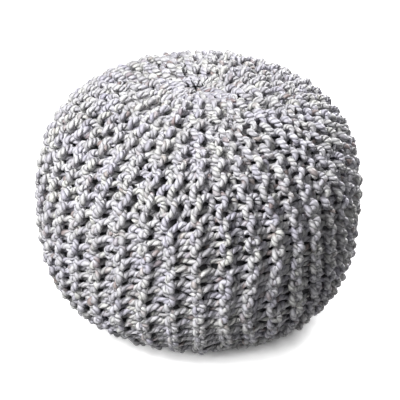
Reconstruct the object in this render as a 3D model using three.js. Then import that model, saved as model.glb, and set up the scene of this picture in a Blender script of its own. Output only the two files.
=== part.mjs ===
// A round floor pouf: one tube of very thick garter stitch, drawn together at the crown and under the
// foot, and stuffed tight. The ridges of the stitch run as ribs from the crown's middle to the floor.
// Millimetres, +Z up. The origin is the middle of the flat foot, on the floor.
import * as THREE from "three";
import { mergeVertices } from "three/addons/utils/BufferGeometryUtils.js";

// Stuffed form, measured over the tops of the ribs
const RADIUS = 250;
const WIDEST_HEIGHT = 160;
const CROWN_RISE = 218;
const CROWN_SQUARENESS = 2.83;
const BELLY_DROP = 176;
const BELLY_SQUARENESS = 2.91;

// Hollow where the drawn-up yarn pulls the crown in
const DIMPLE_DEPTH = 15;
const DIMPLE_RADIUS = 70;

// Ribs: two knitted rows make one garter ridge
const RIBS = 40;
const RIB_DEPTH = 9;
const RIB_CREST_ROUNDNESS = 0.7;
const RIB_SPACING_SWAY = 0.1;
const RIB_DEPTH_SWAY = 0.2;
const RIB_DEPTH_TURN = 2.4;
const RIB_LEAN = THREE.MathUtils.degToRad(3);

// Every second rib stops short of the crown's middle, and the rest run on into the gather
const SHORT_RIBS_START = 135;
const SHORT_RIBS_END = 100;
const GATHER_RADIUS = 36;

// Mesh steps
const POINTS_PER_RIB = 4;
const CROWN_STEPS = 15;
const BELLY_STEPS = 11;
const COLUMNS = RIBS * POINTS_PER_RIB;
const MERGE_DISTANCE = 0.01;

// The crown's height over the floor at a given distance from the axis
function crownHeight(radius) {
  const rise = (1 - (radius / RADIUS) ** CROWN_SQUARENESS) ** (1 / CROWN_SQUARENESS);
  const hollow = DIMPLE_DEPTH * Math.exp(-((radius / DIMPLE_RADIUS) ** 2));
  return WIDEST_HEIGHT + CROWN_RISE * rise - hollow;
}

// The belly's distance from the axis at a given height under the widest ring
function bellyRadius(height) {
  const drop = (WIDEST_HEIGHT - height) / BELLY_DROP;
  return RADIUS * (1 - drop ** BELLY_SQUARENESS) ** (1 / BELLY_SQUARENESS);
}

// Section from the middle of the foot, up the belly and over to the middle of the crown, in even steps
function sectionPoints() {
  const FINE_STEPS = 400;
  const belly = [];
  const crown = [];
  for (let step = 0; step <= FINE_STEPS; step += 1) {
    const share = step / FINE_STEPS;
    const height = WIDEST_HEIGHT * share;
    belly.push(new THREE.Vector2(bellyRadius(height), height));
    const radius = RADIUS * Math.cos(share * Math.PI / 2);
    crown.push(new THREE.Vector2(radius, crownHeight(radius)));
  }
  const evenly = (points, steps) => new THREE.Path(points).getSpacedPoints(steps);
  return [
    new THREE.Vector2(0, 0),
    ...evenly(belly, BELLY_STEPS).slice(0, -1),
    ...evenly(crown, CROWN_STEPS),
  ];
}

// Where a rib's middle line stands: the ribs are set a little wider on one side and lean as they fall
function ribAzimuth(rib, height) {
  const even = (rib / RIBS) * 2 * Math.PI;
  const sway = RIB_SPACING_SWAY * (Math.cos(even) - 1);
  const lean = RIB_LEAN * Math.sin(even) * (1 - height / WIDEST_HEIGHT);
  return even + sway + lean;
}

// How far a point lies under the rib tops, by its place across the ribs and its distance from the axis
function ribSink(rib, radius) {
  const crest = (turn) => Math.abs(Math.cos(Math.PI * turn)) ** RIB_CREST_ROUNDNESS;
  const longOnly = 1 - THREE.MathUtils.smoothstep(radius, SHORT_RIBS_END, SHORT_RIBS_START);
  const height = THREE.MathUtils.lerp(crest(rib), crest(rib / 2), longOnly);
  const fade = THREE.MathUtils.smoothstep(radius, 0, GATHER_RADIUS);
  const uneven = 1 + RIB_DEPTH_SWAY * Math.sin(RIB_DEPTH_TURN * Math.round(rib));
  return RIB_DEPTH * uneven * fade * (1 - height);
}

// Outward direction of the section at one of its points
function sectionNormal(section, index) {
  const before = section[Math.max(index - 1, 0)];
  const after = section[Math.min(index + 1, section.length - 1)];
  return new THREE.Vector2(after.y - before.y, before.x - after.x).normalize();
}

// The stuffed form turned on its axis, with the furrows between the ribs pressed into its points
function knitCoverGeometry() {
  const section = sectionPoints();
  const geometry = new THREE.LatheGeometry(section, COLUMNS);
  geometry.deleteAttribute("normal");
  geometry.deleteAttribute("uv");
  const position = geometry.attributes.position;
  for (let column = 0; column <= COLUMNS; column += 1) {
    const rib = (column % COLUMNS) / POINTS_PER_RIB;
    for (let index = 0; index < section.length; index += 1) {
      const { x: radius, y: height } = section[index];
      const normal = sectionNormal(section, index);
      const sink = ribSink(rib, radius);
      const azimuth = ribAzimuth(rib, height);
      const onFloor = height === 0;
      const reach = radius - sink * (onFloor ? Math.sign(radius) : normal.x);
      const level = onFloor ? 0 : height - sink * normal.y;
      const vertex = column * section.length + index;
      position.setXYZ(vertex, reach * Math.sin(azimuth), -reach * Math.cos(azimuth), level);
    }
  }
  return mergeVertices(geometry, MERGE_DISTANCE);
}

const yarnGrey = new THREE.MeshStandardMaterial({ color: 0xb4b4b8, roughness: 0.6, metalness: 0 });

const knitCover = new THREE.Mesh(knitCoverGeometry(), yarnGrey);
knitCover.name = "knit_cover";

const pouf = new THREE.Group();
pouf.add(knitCover);

export default pouf;
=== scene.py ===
import math

import bmesh
import bpy
import numpy as np
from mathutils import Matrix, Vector


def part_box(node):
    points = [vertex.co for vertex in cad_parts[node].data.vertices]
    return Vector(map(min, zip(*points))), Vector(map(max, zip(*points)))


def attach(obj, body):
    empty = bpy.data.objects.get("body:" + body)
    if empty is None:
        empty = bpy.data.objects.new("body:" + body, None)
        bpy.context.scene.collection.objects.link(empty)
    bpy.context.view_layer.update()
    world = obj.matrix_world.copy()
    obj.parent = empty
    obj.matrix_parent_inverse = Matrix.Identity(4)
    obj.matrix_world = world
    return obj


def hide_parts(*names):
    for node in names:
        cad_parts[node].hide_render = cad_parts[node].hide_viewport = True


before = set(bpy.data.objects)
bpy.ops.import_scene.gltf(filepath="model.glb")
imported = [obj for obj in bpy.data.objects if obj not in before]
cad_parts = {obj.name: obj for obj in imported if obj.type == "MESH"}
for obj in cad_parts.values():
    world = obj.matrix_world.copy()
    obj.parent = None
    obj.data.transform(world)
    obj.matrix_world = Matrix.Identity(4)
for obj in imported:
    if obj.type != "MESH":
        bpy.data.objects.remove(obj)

scene = bpy.context.scene
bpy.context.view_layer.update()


# Stuffed body
# The filling pressed into the tube of knitting as one firm, round, flat-footed body. It shows only deep in
# the gaps between the stitches, where the backs of the loops lie against it; its dark grey is painted shade
# for those gaps.
cover_low, cover_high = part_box("knit_cover")
RADIUS = (cover_high[0] - cover_low[0]) / 2
WIDEST_HEIGHT = 0.160
CROWN_RISE = 0.218
CROWN_SQUARENESS = 2.83
BELLY_DROP = 0.176
BELLY_SQUARENESS = 2.91
DIMPLE_DEPTH = 0.015
DIMPLE_RADIUS = 0.070
SECTION_POINTS = 900
SECTION_STEP = 0.001
SMOOTHED_STEPS = 25
GATHER_HOLE = 0.006
BODY_DEPTH = 0.0176
BODY_STEP = 12
BODY_TURNS = 132
BODY_MERGE = 0.0004
# Painted shade: the body's dark greys stand for the shade deep in the gaps between the stitches
BODY_SHADE_TONES = ((0.35, (0.045, 0.045, 0.048)), (0.70, (0.15, 0.15, 0.155)))
BODY_ROUGHNESS = 0.9
CLUMP_SCALE = 90.0
CLUMP_DETAIL = 4.0
CLUMP_RELIEF = 0.003


def outer_section():
    """The pouf's outline over the stitch tops, from the crown's middle to the middle of the underside."""
    share = np.linspace(0.0, 1.0, SECTION_POINTS)
    crown_r = RADIUS * np.sin(share * math.pi / 2)
    rise = (1 - np.minimum(crown_r / RADIUS, 1) ** CROWN_SQUARENESS) ** (1 / CROWN_SQUARENESS)
    hollow = DIMPLE_DEPTH * np.exp(-((crown_r / DIMPLE_RADIUS) ** 2))
    crown_z = WIDEST_HEIGHT + CROWN_RISE * rise - hollow
    belly_z = WIDEST_HEIGHT * (1 - share[1:])
    drop = (WIDEST_HEIGHT - belly_z) / BELLY_DROP
    belly_r = RADIUS * (1 - drop ** BELLY_SQUARENESS) ** (1 / BELLY_SQUARENESS)
    under_r = belly_r[-1] * (1 - share[1:])
    radius = np.concatenate([crown_r, belly_r, under_r])
    height = np.concatenate([crown_z, belly_z, np.zeros(SECTION_POINTS - 1)])
    return radius, height


def inset_section(depth):
    """The outer section moved inwards by a depth, in even steps, with its outward directions."""
    radius, height = outer_section()
    length = np.concatenate([[0.0], np.cumsum(np.hypot(np.diff(radius), np.diff(height)))])
    even = np.arange(0.0, length[-1], SECTION_STEP)
    radius, height = np.interp(even, length, radius), np.interp(even, length, height)
    window = np.ones(SMOOTHED_STEPS) / SMOOTHED_STEPS
    margin = SMOOTHED_STEPS // 2
    out_r = np.convolve(np.pad(-np.gradient(height), margin, mode="edge"), window, mode="valid")
    out_z = np.convolve(np.pad(np.gradient(radius), margin, mode="edge"), window, mode="valid")
    size = np.hypot(out_r, out_z)
    out_r, out_z = out_r / size, out_z / size
    return np.maximum(radius - depth * out_r, 0.0), height - depth * out_z, out_r, out_z


def finished(name, mesh, material, body="root"):
    """Puts a finished mesh into the scene with its material, on the pouf's one body."""
    piece = bpy.data.objects.new(name, mesh)
    scene.collection.objects.link(piece)
    mesh.materials.append(material)
    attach(piece, body)
    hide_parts("knit_cover")
    return piece


def graded(nodes, links, value, stops):
    """Colours run from stop to stop by a value: each stop is a place from 0 to 1 and a colour."""
    node = nodes.new("ShaderNodeValToRGB")
    elements = node.color_ramp.elements
    ends = (elements[0], elements[1])
    for element, (place, colour) in zip(ends, (stops[0], stops[-1])):
        element.position = place
        element.color = (*colour, 1)
    for place, colour in stops[1:-1]:
        elements.new(place).color = (*colour, 1)
    links.new(value, node.inputs["Fac"])
    return node.outputs["Color"]


def stuffed_body_mesh():
    """The inset section, thinned to a few points, turned once round the pouf's axis."""
    radius, height, _, _ = inset_section(BODY_DEPTH)
    keep = [i for i in range(0, len(radius), BODY_STEP) if radius[i] > GATHER_HOLE]
    form = bmesh.new()
    chain = [form.verts.new((0.0, 0.0, height[0]))]
    chain += [form.verts.new((0.0, -radius[i], height[i])) for i in keep]
    chain += [form.verts.new((0.0, 0.0, height[-1]))]
    edges = [form.edges.new(pair) for pair in zip(chain, chain[1:])]
    bmesh.ops.spin(form, geom=chain + edges, cent=(0, 0, 0), axis=(0, 0, 1), dvec=(0, 0, 0),
                   angle=2 * math.pi, steps=BODY_TURNS, use_merge=True, use_duplicate=False)
    bmesh.ops.remove_doubles(form, verts=form.verts, dist=BODY_MERGE)
    bmesh.ops.recalc_face_normals(form, faces=form.faces)
    for face in form.faces:
        face.smooth = True
    mesh = bpy.data.meshes.new("stuffed_body")
    form.to_mesh(mesh)
    form.free()
    return mesh


def painted_shade_knit_material():
    """The backs of the loops in the depth of the fabric: the same grey yarn, dull, its dark grey painted
    shade.
    """
    material = bpy.data.materials.new("painted_shade_knit")
    material.use_nodes = True
    nodes, links = material.node_tree.nodes, material.node_tree.links
    shader = nodes["Principled BSDF"]
    shader.inputs["Roughness"].default_value = BODY_ROUGHNESS
    place = nodes.new("ShaderNodeTexCoord")
    clumps = nodes.new("ShaderNodeTexNoise")
    clumps.inputs["Scale"].default_value = CLUMP_SCALE
    clumps.inputs["Detail"].default_value = CLUMP_DETAIL
    links.new(place.outputs["Object"], clumps.inputs["Vector"])
    links.new(graded(nodes, links, clumps.outputs["Fac"], BODY_SHADE_TONES), shader.inputs["Base Color"])
    bump = nodes.new("ShaderNodeBump")
    bump.inputs["Distance"].default_value = CLUMP_RELIEF
    links.new(clumps.outputs["Fac"], bump.inputs["Height"])
    links.new(bump.outputs["Normal"], shader.inputs["Normal"])
    return material


stuffed_body = finished("stuffed_body", stuffed_body_mesh(), painted_shade_knit_material())


# Knitted rows
# Thick plied yarn worked in garter stitch. Each row is one strand of loops from the gather in the crown to
# the gather under the foot. Its loops hang in those of the rows beside it, two rows to a ridge.
RIDGES = 40
ROWS = 2 * RIDGES
ROWS_PER_PIECE = 10
RIB_SPACING_SWAY = 0.1
RIB_LEAN = math.radians(3)
FABRIC_DEPTH = 0.0122
FLOOR_CLEARANCE = 0.0002

# Stitches: their length along a row, which is longest on the crown, and the steps that a stitch is drawn in
STITCH = 0.026
STITCH_PLACES = (0.0, 0.21, 0.33, 0.45, 1.0)
STITCH_LENGTHS = (0.0280, 0.0280, 0.0255, 0.0215, 0.0215)
STEPS_PER_STITCH = 22
CREST_STEPS = 0.35

# Loops: how far they reach over the ridge, stand out and lean, with the odd rows a little higher
RIDGE_OVERLAP = 0.0086
RIGHT_OVERLAP = 0.0026
LOOP_WAIST = 0.0041
LOOP_DEPTH = 0.0092
LOOP_BACK = 0.48
LOOP_CREST = 0.6
LOOP_LEAN = 0.23
ODD_LIFT = 0.08

# Legs between the heads and feet of the loops: their step in depth, their slope and how far they sink
LEG_STEP = 0.0052
ODD_STEP = -0.22
LEG_RISE = 0.0006
LEG_REACH = 0.0003
LEG_SLOPE = -0.0060
LEG_SLOPE_LOW = -0.0060
LEG_SLOPE_TURN = 0.0086
LEFT_SINK = 0.0046
RIGHT_SINK = 0.0032
UPPER_SINK = 0.0028

# Crown and foot: the crown's loops stand higher, and those near the foot are pressed flat, level and inwards
CROWN_LIFT = 0.0018
FOOT_FLAT = 0.32
FOOT_FLAT_RIGHT = 0.5
FOOT_LEVEL = 0.8
FOOT_TUCK = 0.0016

# Yarn: its radius, where it is drawn thin or lies full, and how far its twist opens on the legs
YARN_RADIUS = 0.0045
YARN_SIDES = 10
HEAD_FULLNESS = 0.05
LEFT_FULLNESS = 0.05
LEG_THIN = 0.05
LEG_THIN_LOW = 0.30
RIGHT_THIN = 0.12
RIGHT_THIN_LOW = 0.16
CROWN_THIN = 0.06
GATHER_YARN = 0.55
GATHER_YARN_GAIN = 0.45
LEG_STRETCH = 0.35

# Zones along a row, as lengths from the crown's middle over which a change comes in
CROWN_YARN_ZONE = (0.14, 0.32)
CROWN_LIFT_ZONE = (0.20, 0.34)
UPPER_ZONE = (0.26, 0.40)
LOWER_ZONE = (0.38, 0.50)
FLAT_ZONE = (0.40, 0.52)
TUCK_ZONE = (0.44, 0.54)
LEVEL_ZONE = (0.45, 0.53)

# Gathers: every second ridge stops short of them, and inside them the loops run out into drawn-up yarn
SHORT_ROWS_START = 0.140
SHORT_ROWS_END = 0.105
SHORT_ROW_ENDS = (0.108, 0.130)
LONG_ROW_ENDS = (0.008, 0.014)
UNDERSIDE_STEPS = 200
END_FADE = 0.016
END_SINK = 0.012
GATHER_ZONE = (0.034, 0.054)
DRAWN_ZONE = (0.022, 0.054)
DRAWN_TURN = 0.4
GATHER_YARN_ZONE = (0.006, 0.045)
ODD_GATHER_LIFT = 0.0085
NARROWEST = 0.012
HOLE_SHARE = 0.7
DIVE_ZONE = (GATHER_HOLE, 0.014)
DIVE_DEPTH = 0.012

# Unevenness of hand work: stitch by stitch, and as slow drifts over the whole fabric
LOOSE_REACH = 0.30
LOOSE_RUN = 0.0020
LOOSE_DEPTH = 0.0011
SLUBS = 0.05
FINE_SLUBS = 0.06
FINE_SLUB_RATE = 3
DRIFT_ACROSS = 0.09
DRIFT_ALONG = 0.0050
LUMP_DEPTH = 0.0010
SLACK_FULLNESS = 0.05

rng = np.random.default_rng(26)
mid_r, mid_z, mid_out_r, mid_out_z = inset_section(FABRIC_DEPTH)
mid_s = SECTION_STEP * np.arange(len(mid_r))
stitch_length = np.interp(mid_s, STITCH_PLACES, STITCH_LENGTHS)
stitch_count = np.concatenate([[0.0], np.cumsum(SECTION_STEP / stitch_length[1:])])
widest = int(np.argmax(mid_r))


def smooth_step(value, low, high):
    """Runs smoothly from 0 at the low value to 1 at the high one."""
    share = np.clip((value - low) / (high - low), 0.0, 1.0)
    return share * share * (3 - 2 * share)


def wave_field(count, longest, shortest, rings):
    """Slow unevenness over the fabric: a sum of waves that close round the pouf, of about unit size."""
    turns = rng.integers(-rings, rings + 1, count)
    lengths = rng.uniform(shortest, longest, count)
    phases = rng.uniform(0, 2 * math.pi, count)
    scale = math.sqrt(2 / count)

    def field(ridge, run):
        total = np.zeros_like(run)
        for turn, length, phase in zip(turns, lengths, phases):
            total += np.sin(2 * math.pi * (turn * ridge / RIDGES + run / length) + phase)
        return total * scale

    return field


drift_across = wave_field(count=14, longest=0.30, shortest=0.09, rings=9)
drift_along = wave_field(count=14, longest=0.30, shortest=0.09, rings=9)
lumps = wave_field(count=12, longest=0.40, shortest=0.16, rings=5)
slack = wave_field(count=12, longest=0.25, shortest=0.08, rings=10)


def per_stitch(phase, spread):
    """A value of its own for every half loop, run smoothly from one to the next."""
    half = phase / math.pi
    first = math.floor(half[0])
    draws = rng.normal(0.0, spread, int(math.ceil(half[-1])) - first + 2)
    place = half - first
    index = place.astype(int)
    share = smooth_step(place - index, 0.0, 1.0)
    return draws[index] * (1 - share) + draws[index + 1] * share


def row_course(ridge, heads_out):
    """A row's turn through its loops and its length from the crown at each step, and how its ends fade."""
    total = mid_s[-1]
    first, last = rng.uniform(*LONG_ROW_ENDS), total - rng.uniform(*LONG_ROW_ENDS)
    short = ridge % 2 == 1
    if short:
        crown_end, under_end = rng.uniform(*SHORT_ROW_ENDS, 2)
        first = np.interp(crown_end, mid_r[:widest], mid_s[:widest])
        under_r, under_s = mid_r[::-1][:UNDERSIDE_STEPS], (total - mid_s[::-1])[:UNDERSIDE_STEPS]
        last = total - np.interp(under_end, under_r, under_s)
    crest = 0.0 if heads_out else 0.5
    turns = np.interp([first, last], mid_s, stitch_count) - crest
    steps = int(round((turns[1] - turns[0]) * STEPS_PER_STITCH))
    even = 2 * math.pi * np.linspace(turns[0], turns[1], steps + 1)
    phase = even - CREST_STEPS * np.sin(even)
    run = np.interp(phase / (2 * math.pi) + crest, stitch_count, mid_s)
    ends = np.minimum(run - first, last - run)
    fade = smooth_step(ends, 0.0, END_FADE) if short else np.ones_like(run)
    return phase, run, fade


def loop_depth(phase, run, side, leftwards, rightwards):
    """How far a loop stands out from the fabric's middle: high at its head, low at its foot, legs between."""
    odd = side < 0
    on_leg = np.sin(phase) ** 2
    leaning = np.cos(phase + side * LOOP_LEAN)
    crest_line = leaning * (LOOP_CREST * leaning ** 2 + 1 - LOOP_CREST)
    crest_line = np.where(leaning < 0, LOOP_BACK, 1 + (ODD_LIFT if odd else -ODD_LIFT)) * crest_line
    legs = LEG_STEP * (ODD_STEP if odd else 1.0) * np.sin(phase) + LEG_RISE * on_leg
    upper = 1 - smooth_step(run, *UPPER_ZONE)
    right_sink = RIGHT_SINK * rightwards * (1 - smooth_step(run, *LOWER_ZONE))
    legs = legs - (LEFT_SINK * leftwards + right_sink + UPPER_SINK * upper) * on_leg
    relief = 1 - FOOT_FLAT * (1 - FOOT_FLAT_RIGHT * rightwards) * smooth_step(run, *FLAT_ZONE)
    return LOOP_DEPTH * relief * crest_line + legs


def yarn_radius(phase, run, leftwards, rightwards, loose):
    """The yarn's radius along a row: thinner on the legs, the crown and the lower right, with slubs."""
    lower = smooth_step(run, *LOWER_ZONE)
    slubs = per_stitch(phase, SLUBS) + per_stitch(FINE_SLUB_RATE * phase, FINE_SLUBS)
    thin = LEG_THIN + LEG_THIN_LOW * lower + (RIGHT_THIN + RIGHT_THIN_LOW * lower) * rightwards
    tight = HEAD_FULLNESS - thin * np.sin(phase) ** 2
    yarn = YARN_RADIUS * (1 + tight + SLACK_FULLNESS * loose + slubs)
    on_crown = 1 - smooth_step(run, *CROWN_YARN_ZONE)
    return yarn * (1 + LEFT_FULLNESS * leftwards - CROWN_THIN * on_crown)


def on_pouf(across, run_at, depth, radius):
    """Points and outward directions on the pouf, from places in ridges, along the row and outwards."""
    turn = across / RIDGES * 2 * math.pi
    mid_height = np.interp(run_at, mid_s, mid_z)
    azimuth = turn + RIB_SPACING_SWAY * (np.cos(turn) - 1)
    azimuth = azimuth + RIB_LEAN * np.sin(turn) * (1 - mid_height / WIDEST_HEIGHT)
    out_r = np.interp(run_at, mid_s, mid_out_r)
    out_z = np.interp(run_at, mid_s, mid_out_z)
    reach_r = np.interp(run_at, mid_s, mid_r) + depth * out_r
    reach_r = np.maximum(reach_r, GATHER_HOLE * HOLE_SHARE)
    dive = 1 - smooth_step(radius, *DIVE_ZONE)
    inwards = np.where(mid_height > WIDEST_HEIGHT, -1.0, 1.0)
    reach_z = mid_height + depth * out_z + inwards * DIVE_DEPTH * dive ** 2
    towards = np.stack([np.sin(azimuth), -np.cos(azimuth)], axis=1)
    points = np.column_stack([reach_r[:, None] * towards, reach_z])
    outwards = np.column_stack([out_r[:, None] * towards, out_z])
    return points, outwards


def row_path(row):
    """One row of loops, from crown to underside: middle line, outward directions, yarn radius and twist."""
    ridge = (row + 1) // 2
    heads_out = row % 2 == 1
    side = -1 if heads_out else 1
    to_right = math.sin(2 * math.pi * ridge / RIDGES)
    leftwards, rightwards = max(-to_right, 0.0), max(to_right, 0.0)
    phase, run, fade = row_course(ridge, heads_out)
    radius = np.interp(run, mid_s, mid_r)
    spacing = 2 * math.pi * np.maximum(radius, NARROWEST) / RIDGES
    stretch = np.interp(run, STITCH_PLACES, STITCH_LENGTHS) / STITCH
    spread = 1 - smooth_step(radius, SHORT_ROWS_END, SHORT_ROWS_START)
    loops = smooth_step(radius, *GATHER_ZONE) * fade
    drawn = 1 - smooth_step(radius, *DRAWN_ZONE)

    # Rows stand a quarter of a ridge off its middle, or half where the short ridges have ended
    off_ridge = (1 + spread) / 4
    overlap = RIDGE_OVERLAP + RIGHT_OVERLAP * rightwards
    reach = off_ridge + overlap / 2 / spacing * (1 + per_stitch(phase, LOOSE_REACH))
    swing = -side * reach * loops * np.cos(phase)
    offset = side * off_ridge + DRAWN_TURN * drawn
    across = ridge + offset + swing

    bow = LOOP_WAIST * np.sin(2 * phase) - LEG_REACH * np.sin(phase) * (1 - np.cos(phase)) ** 2
    slope = LEG_SLOPE + LEG_SLOPE_LOW * smooth_step(run, *LOWER_ZONE) + LEG_SLOPE_TURN * to_right
    slope = slope * (1 - FOOT_LEVEL * smooth_step(run, *LEVEL_ZONE))
    lengthwise = stretch * bow + slope * swing * np.sin(phase) ** 2
    run_at = run + (lengthwise + per_stitch(phase, LOOSE_RUN)) * loops

    depth = loop_depth(phase, run, side, leftwards, rightwards) * loops + per_stitch(phase, LOOSE_DEPTH)
    depth = depth + (1 - loops) * (ODD_GATHER_LIFT if heads_out else 0.0)
    depth = depth + CROWN_LIFT * (1 - smooth_step(run, *CROWN_LIFT_ZONE)) * loops
    depth = depth - FOOT_TUCK * smooth_step(run, *TUCK_ZONE)
    depth = depth - END_SINK * (1 - fade)

    across = across + DRIFT_ACROSS * drift_across(across, run_at)
    run_at = run_at + DRIFT_ALONG * drift_along(across, run_at)
    depth = depth + LUMP_DEPTH * lumps(across, run_at)
    yarn = yarn_radius(phase, run, leftwards, rightwards, slack(across, run_at))
    yarn = yarn * (GATHER_YARN + GATHER_YARN_GAIN * smooth_step(radius, *GATHER_YARN_ZONE))
    points, outwards = on_pouf(across, run_at, depth, radius)
    return points, outwards, yarn, 1 - LEG_STRETCH * np.sin(phase) ** 2


def yarn_rings(points, outwards, yarn, twist):
    """Rings of points round a row's middle line, and how far along the yarn's twist each ring lies."""
    tangents = np.gradient(points, axis=0)
    tangents /= np.linalg.norm(tangents, axis=1, keepdims=True)
    sideways = np.cross(tangents, outwards)
    sideways /= np.linalg.norm(sideways, axis=1, keepdims=True)
    upright = np.cross(sideways, tangents)
    angle = math.pi + 2 * math.pi * np.arange(YARN_SIDES) / YARN_SIDES
    ring = np.cos(angle)[None, :, None] * upright[:, None, :]
    ring = ring + np.sin(angle)[None, :, None] * sideways[:, None, :]
    rings = points[:, None, :] + yarn[:, None, None] * ring
    rings[..., 2] = np.maximum(rings[..., 2], FLOOR_CLEARANCE)
    steps = twist[1:] * np.linalg.norm(np.diff(points, axis=0), axis=1)
    return rings, np.concatenate([[0.0], np.cumsum(steps)])


# Baking layout: each stitch has a cell of its own, with a margin across and up, and so has each yarn end
CELL_MARGIN = (0.02, 0.04)
END_MIDDLE = 0.5
END_SIZE = 0.4


def tube_faces(row, length):
    """A row's faces round the yarn, with their places on the yarn and in the cells of the baking layout."""
    ring, side = np.meshgrid(np.arange(len(length) - 1), np.arange(YARN_SIDES), indexing="ij")
    beside = (side + 1) % YARN_SIDES
    here, ahead = ring * YARN_SIDES, (ring + 1) * YARN_SIDES
    quads = np.stack([here + side, here + beside, ahead + beside, ahead + side], axis=-1)
    steps = np.stack([ring, ring, ring + 1, ring + 1], axis=-1)
    round_at = np.stack([side, side + 1, side + 1, side], axis=-1) / YARN_SIDES
    stitch = (ring // STEPS_PER_STITCH)[..., None]
    within = (steps - stitch * STEPS_PER_STITCH) / STEPS_PER_STITCH
    on_yarn = np.stack([length[steps], round_at + row], axis=-1)
    in_cells = np.stack([stitch + 0 * within, within, round_at], axis=-1)
    return quads.reshape(-1, 4), on_yarn.reshape(-1, 2), in_cells.reshape(-1, 3)


def end_faces(row, at_length, turned):
    """The faces that close one end of a row, with their places on the yarn and in a cell of their own."""
    low = np.arange(YARN_SIDES // 2 - 1)
    cap = np.stack([low, low + 1, YARN_SIDES - 2 - low, YARN_SIDES - 1 - low], axis=-1)
    cap = cap[:, ::-1] if turned else cap
    angle = 2 * math.pi * cap / YARN_SIDES
    on_yarn = np.stack([np.full(cap.shape, at_length), row + cap / YARN_SIDES], axis=-1)
    in_cell = np.stack([np.zeros(cap.shape), END_MIDDLE + END_SIZE * np.cos(angle),
                        END_MIDDLE + END_SIZE * np.sin(angle)], axis=-1)
    return cap, on_yarn.reshape(-1, 2), in_cell.reshape(-1, 3)


def rows_mesh(name, rows):
    """Joins several rows into one mesh, with a map along and round the yarn and one laid out for baking."""
    places, faces, yarn_map, bake_cells = [], [], [], []
    start, cell = 0, 0
    for row in rows:
        rings, length = yarn_rings(*row_path(row))
        last = len(rings) - 1
        parts = [(0, tube_faces(row, length)), (0, end_faces(row, length[0], True)),
                 (last, end_faces(row, length[last], False))]
        for ring, (corners, on_yarn, in_cells) in parts:
            faces.append(corners + ring * YARN_SIDES + start)
            yarn_map.append(on_yarn)
            bake_cells.append(in_cells + (cell, 0, 0))
            cell += int(in_cells[:, 0].max()) + 1
        places.append(rings.reshape(-1, 3))
        start += len(rings) * YARN_SIDES
    places, faces = np.concatenate(places), np.concatenate(faces)
    mesh = bpy.data.meshes.new(name)
    mesh.vertices.add(len(places))
    mesh.vertices.foreach_set("co", places.ravel().astype(np.float32))
    mesh.loops.add(faces.size)
    mesh.loops.foreach_set("vertex_index", faces.ravel().astype(np.int32))
    mesh.polygons.add(len(faces))
    mesh.polygons.foreach_set("loop_start", np.arange(0, faces.size, 4, dtype=np.int32))
    mesh.update(calc_edges=True)
    mesh.polygons.foreach_set("use_smooth", np.ones(len(faces), dtype=bool))
    yarn_layer = mesh.uv_layers.new(name="yarn")
    yarn_layer.uv.foreach_set("vector", np.concatenate(yarn_map).ravel().astype(np.float32))
    columns = math.ceil(math.sqrt(cell / 2))
    layout = (columns, math.ceil(cell / columns))
    cells = np.concatenate(bake_cells)
    corner = np.stack([cells[:, 0] % columns, cells[:, 0] // columns], axis=-1)
    margin = np.array(CELL_MARGIN)
    spots = (corner + margin + (1 - 2 * margin) * cells[:, 1:]) / layout
    bake_layer = mesh.uv_layers.new(name="OFBake")
    bake_layer.uv.foreach_set("vector", spots.ravel().astype(np.float32))
    mesh.uv_layers.active = yarn_layer
    return mesh


# Yarn's twist and surface, in metres along the yarn
PLIES = 2
TWIST_LENGTH = 0.0135
TWIST_WANDER = 1.6
FIBRE_SHARE = 0.58
YARN_RELIEF = 0.0024
# GROOVE_WIDTH and GROOVE_SHADE set the painted shade: the base colour darkened in the grooves between the
# plies
GROOVE_WIDTH = 0.45
GROOVE_SHADE = 0.42
YARN_ROUGHNESS = 0.44
SHEEN = 0.08
SHEEN_ROUGHNESS = 0.4

# How fast the yarn's patterns change: per metre of yarn, and from ply to ply and row to row
WANDER_RATE = 45.0
WANDER_ROW = 7.3
FIBRE_PLY = 2.6
FIBRE_RATE = 300.0
FIBRE_ROW = 1.0
MELANGE_RATE = 60.0
MELANGE_PLY = 0.83
MELANGE_ROW = 3.1
DYE_RATE = 11.0
DYE_ROW = 5.7
FLECK_RATE = 45.0
FLECK_PLY = 1.7
FLECK_ROW = 9.1

# Colours: the melange's greys, the dye's drift from lilac to green-grey, and the brown flecks
YARN_TONES = ((0.27, (0.34, 0.335, 0.36)), (0.42, (0.46, 0.45, 0.48)), (0.54, (0.56, 0.555, 0.565)),
              (0.66, (0.60, 0.60, 0.59)), (0.78, (0.72, 0.71, 0.70)))
YARN_TINTS = ((0.34, (0.945, 0.935, 1.025)), (0.66, (1.015, 1.02, 0.97)))
FLECK_BROWN = (0.23, 0.155, 0.14)
FLECK_START = 0.66
FLECK_FULL = 0.79
FLECK_STRENGTH = 0.75


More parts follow.
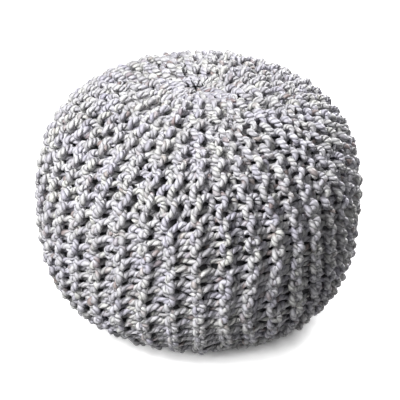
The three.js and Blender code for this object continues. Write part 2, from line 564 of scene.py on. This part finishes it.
def plied_yarn_material():
    """Grey melange yarn: two plies twisted together, soft sheen, lilac to green-grey tints, brown flecks."""
    material = bpy.data.materials.new("plied_grey_yarn")
    material.use_nodes = True
    nodes, links = material.node_tree.nodes, material.node_tree.links
    shader = nodes["Principled BSDF"]

    def math_node(operation, *values):
        node = nodes.new("ShaderNodeMath")
        node.operation = operation
        for socket, value in zip(node.inputs, values):
            if isinstance(value, (int, float)):
                socket.default_value = value
            else:
                links.new(value, socket)
        return node.outputs[0]

    def pattern(detail, *parts, dimensions="3D"):
        at = nodes.new("ShaderNodeCombineXYZ")
        for socket, (value, rate) in zip(at.inputs, parts):
            links.new(math_node("MULTIPLY", value, rate), socket)
        noise = nodes.new("ShaderNodeTexNoise")
        noise.noise_dimensions = dimensions
        noise.inputs["Scale"].default_value = 1.0
        noise.inputs["Detail"].default_value = detail
        links.new(at.outputs["Vector"], noise.inputs["Vector"])
        return noise.outputs["Fac"]

    def ranged(value, from_min, from_max, to_min, to_max):
        node = nodes.new("ShaderNodeMapRange")
        node.inputs["From Min"].default_value = from_min
        node.inputs["From Max"].default_value = from_max
        node.inputs["To Min"].default_value = to_min
        node.inputs["To Max"].default_value = to_max
        links.new(value, node.inputs["Value"])
        return node.outputs["Result"]

    def multiplied(colour, other):
        node = nodes.new("ShaderNodeMix")
        node.data_type = "RGBA"
        node.blend_type = "MULTIPLY"
        node.inputs["Factor"].default_value = 1.0
        links.new(colour, node.inputs["A"])
        links.new(other, node.inputs["B"])
        return node.outputs["Result"]

    strand = nodes.new("ShaderNodeUVMap")
    strand.uv_map = "yarn"
    split = nodes.new("ShaderNodeSeparateXYZ")
    links.new(strand.outputs["UV"], split.inputs["Vector"])
    length, round_at = split.outputs["X"], split.outputs["Y"]
    row = math_node("FLOOR", round_at)

    wander = pattern(1.0, (length, WANDER_RATE), (row, WANDER_ROW), dimensions="2D")
    twist = math_node("ADD", math_node("MULTIPLY", length, PLIES / TWIST_LENGTH),
                      math_node("MULTIPLY", wander, TWIST_WANDER))
    plies = math_node("ADD", math_node("MULTIPLY", round_at, PLIES), twist)
    ply = math_node("FLOOR", plies)
    off_middle = math_node("MULTIPLY_ADD", math_node("FRACT", plies), 2.0, -1.0)
    ply_round = math_node("SUBTRACT", 1.0, math_node("MULTIPLY", off_middle, off_middle))

    fibres = pattern(3.0, (plies, FIBRE_PLY), (length, FIBRE_RATE), (row, FIBRE_ROW))
    bump = nodes.new("ShaderNodeBump")
    bump.inputs["Strength"].default_value = 1.0
    bump.inputs["Distance"].default_value = YARN_RELIEF
    links.new(math_node("ADD", ply_round, math_node("MULTIPLY", fibres, FIBRE_SHARE)), bump.inputs["Height"])
    links.new(bump.outputs["Normal"], shader.inputs["Normal"])

    melange = pattern(2.0, (length, MELANGE_RATE), (ply, MELANGE_PLY), (row, MELANGE_ROW))
    dye = pattern(1.0, (length, DYE_RATE), (row, DYE_ROW))
    tinted = multiplied(graded(nodes, links, melange, YARN_TONES), graded(nodes, links, dye, YARN_TINTS))
    flecks = pattern(0.0, (length, FLECK_RATE), (ply, FLECK_PLY), (row, FLECK_ROW))
    flecked = nodes.new("ShaderNodeMix")
    flecked.data_type = "RGBA"
    flecked.inputs["B"].default_value = (*FLECK_BROWN, 1)
    links.new(ranged(flecks, FLECK_START, FLECK_FULL, 0.0, FLECK_STRENGTH), flecked.inputs["Factor"])
    links.new(tinted, flecked.inputs["A"])
    # Painted shade: the base colour darkens towards the grooves between the plies
    painted_groove_shade = ranged(ply_round, 0.0, GROOVE_WIDTH, GROOVE_SHADE, 1.0)
    links.new(multiplied(flecked.outputs["Result"], painted_groove_shade), shader.inputs["Base Color"])
    shader.inputs["Roughness"].default_value = YARN_ROUGHNESS
    shader.inputs["Sheen Weight"].default_value = SHEEN
    shader.inputs["Sheen Roughness"].default_value = SHEEN_ROUGHNESS
    return material


plied_yarn = plied_yarn_material()
for group in range(ROWS // ROWS_PER_PIECE):
    name = f"knitted_rows_{group + 1}"
    rows = range(group * ROWS_PER_PIECE, (group + 1) * ROWS_PER_PIECE)
    finished(name, rows_mesh(name, rows), plied_yarn)


# Floor
# A plain white studio floor that glows evenly and gives no light back to the pouf. Its soft contact shade is
# painted shade in its glow, looked up along a tilted direction, so that it falls behind and to the right,
# away from the light.
FLOOR_SIZE = 100.0
FLOOR_GREY = 0.80
FLOOR_ROUGHNESS = 0.8
FLOOR_GLOW = 0.95
SHADE_REACH = 0.048
SHADE_DIRECTION = (-0.45, -0.86, 0.36)
SHADE_DARKEST = 0.57


def studio_floor():
    """One flat white face under the pouf, outside the object."""
    form = bmesh.new()
    bmesh.ops.create_grid(form, x_segments=1, y_segments=1, size=FLOOR_SIZE)
    mesh = bpy.data.meshes.new("studio_floor")
    form.to_mesh(mesh)
    form.free()
    material = bpy.data.materials.new("white_floor")
    material.use_nodes = True
    nodes, links = material.node_tree.nodes, material.node_tree.links
    shader = nodes["Principled BSDF"]
    shader.inputs["Base Color"].default_value = (FLOOR_GREY, FLOOR_GREY, FLOOR_GREY, 1)
    shader.inputs["Roughness"].default_value = FLOOR_ROUGHNESS
    shader.inputs["Emission Strength"].default_value = FLOOR_GLOW
    painted_contact_shade = nodes.new("ShaderNodeAmbientOcclusion")
    painted_contact_shade.inputs["Distance"].default_value = SHADE_REACH
    direction = nodes.new("ShaderNodeCombineXYZ")
    for socket, value in zip(direction.inputs, SHADE_DIRECTION):
        socket.default_value = value
    links.new(direction.outputs["Vector"], painted_contact_shade.inputs["Normal"])
    # Painted shade: the glow is dimmed where the pouf hems the floor in along the tilted direction
    deepened = nodes.new("ShaderNodeMapRange")
    deepened.inputs["From Min"].default_value = SHADE_DARKEST
    links.new(painted_contact_shade.outputs["AO"], deepened.inputs["Value"])
    links.new(deepened.outputs["Result"], shader.inputs["Emission Color"])
    mesh.materials.append(material)
    floor = bpy.data.objects.new("studio_floor", mesh)
    scene.collection.objects.link(floor)
    floor.visible_diffuse = False


studio_floor()


# Lights
# Four soft lights on the pouf's middle: the key high on the left, a lower one at the front left, a weak fill
# at the front right and one behind on the right, in a faint even white surround.
LIT_POINT = (0.0, 0.0, 0.19)
LIGHTS = (
    ("key_light", (-1.06, -0.95, 1.90), 0.9, 66.0),
    ("front_light", (-1.20, -1.50, 1.30), 0.45, 15.5),
    ("fill_light", (0.75, -1.35, 1.75), 0.3, 5.2),
    ("back_light", (1.25, 1.45, 1.25), 0.9, 66.0),
)
SURROUND_STRENGTH = 0.045


def soft_light(name, place, size, watts):
    """A round area light turned to the lit point."""
    lamp = bpy.data.lights.new(name, "AREA")
    lamp.shape = "DISK"
    lamp.size = size
    lamp.energy = watts
    light = bpy.data.objects.new(name, lamp)
    light.location = place
    light.rotation_euler = (Vector(LIT_POINT) - Vector(place)).to_track_quat("-Z", "Y").to_euler()
    scene.collection.objects.link(light)


for light_values in LIGHTS:
    soft_light(*light_values)
surround = bpy.data.worlds.new("white_surround")
surround.use_nodes = True
background = surround.node_tree.nodes["Background"]
background.inputs["Color"].default_value = (1, 1, 1, 1)
background.inputs["Strength"].default_value = SURROUND_STRENGTH
scene.world = surround
scene.view_settings.view_transform = "Standard"


# Camera
# At the height and distance that fit the photograph's outline, aimed a few of its pixels off the pouf's
# widest ring, so that the pouf stands where it does in the picture.
CAMERA_ELEVATION = math.radians(31)
CAMERA_DISTANCE = 1.8
FOCAL_PIXELS = 1151
PICTURE_PIXELS = 400
SENSOR_MM = 36
AIM_RIGHT_PIXELS = 2.0
AIM_UP_PIXELS = 6.7
lens = bpy.data.cameras.new("camera")
lens.sensor_width = SENSOR_MM
lens.lens = FOCAL_PIXELS * SENSOR_MM / PICTURE_PIXELS
camera = bpy.data.objects.new("camera", lens)
ring_middle = Vector((0, 0, WIDEST_HEIGHT))
back = Vector((0, -math.cos(CAMERA_ELEVATION), math.sin(CAMERA_ELEVATION)))
up = Vector((0, math.sin(CAMERA_ELEVATION), math.cos(CAMERA_ELEVATION)))
right = Vector((1, 0, 0))
pixel = CAMERA_DISTANCE / FOCAL_PIXELS
aim = ring_middle + AIM_RIGHT_PIXELS * pixel * right + AIM_UP_PIXELS * pixel * up
camera.location = ring_middle + CAMERA_DISTANCE * back
camera.rotation_euler = (aim - camera.location).to_track_quat("-Z", "Y").to_euler()
scene.collection.objects.link(camera)
scene.camera = camera
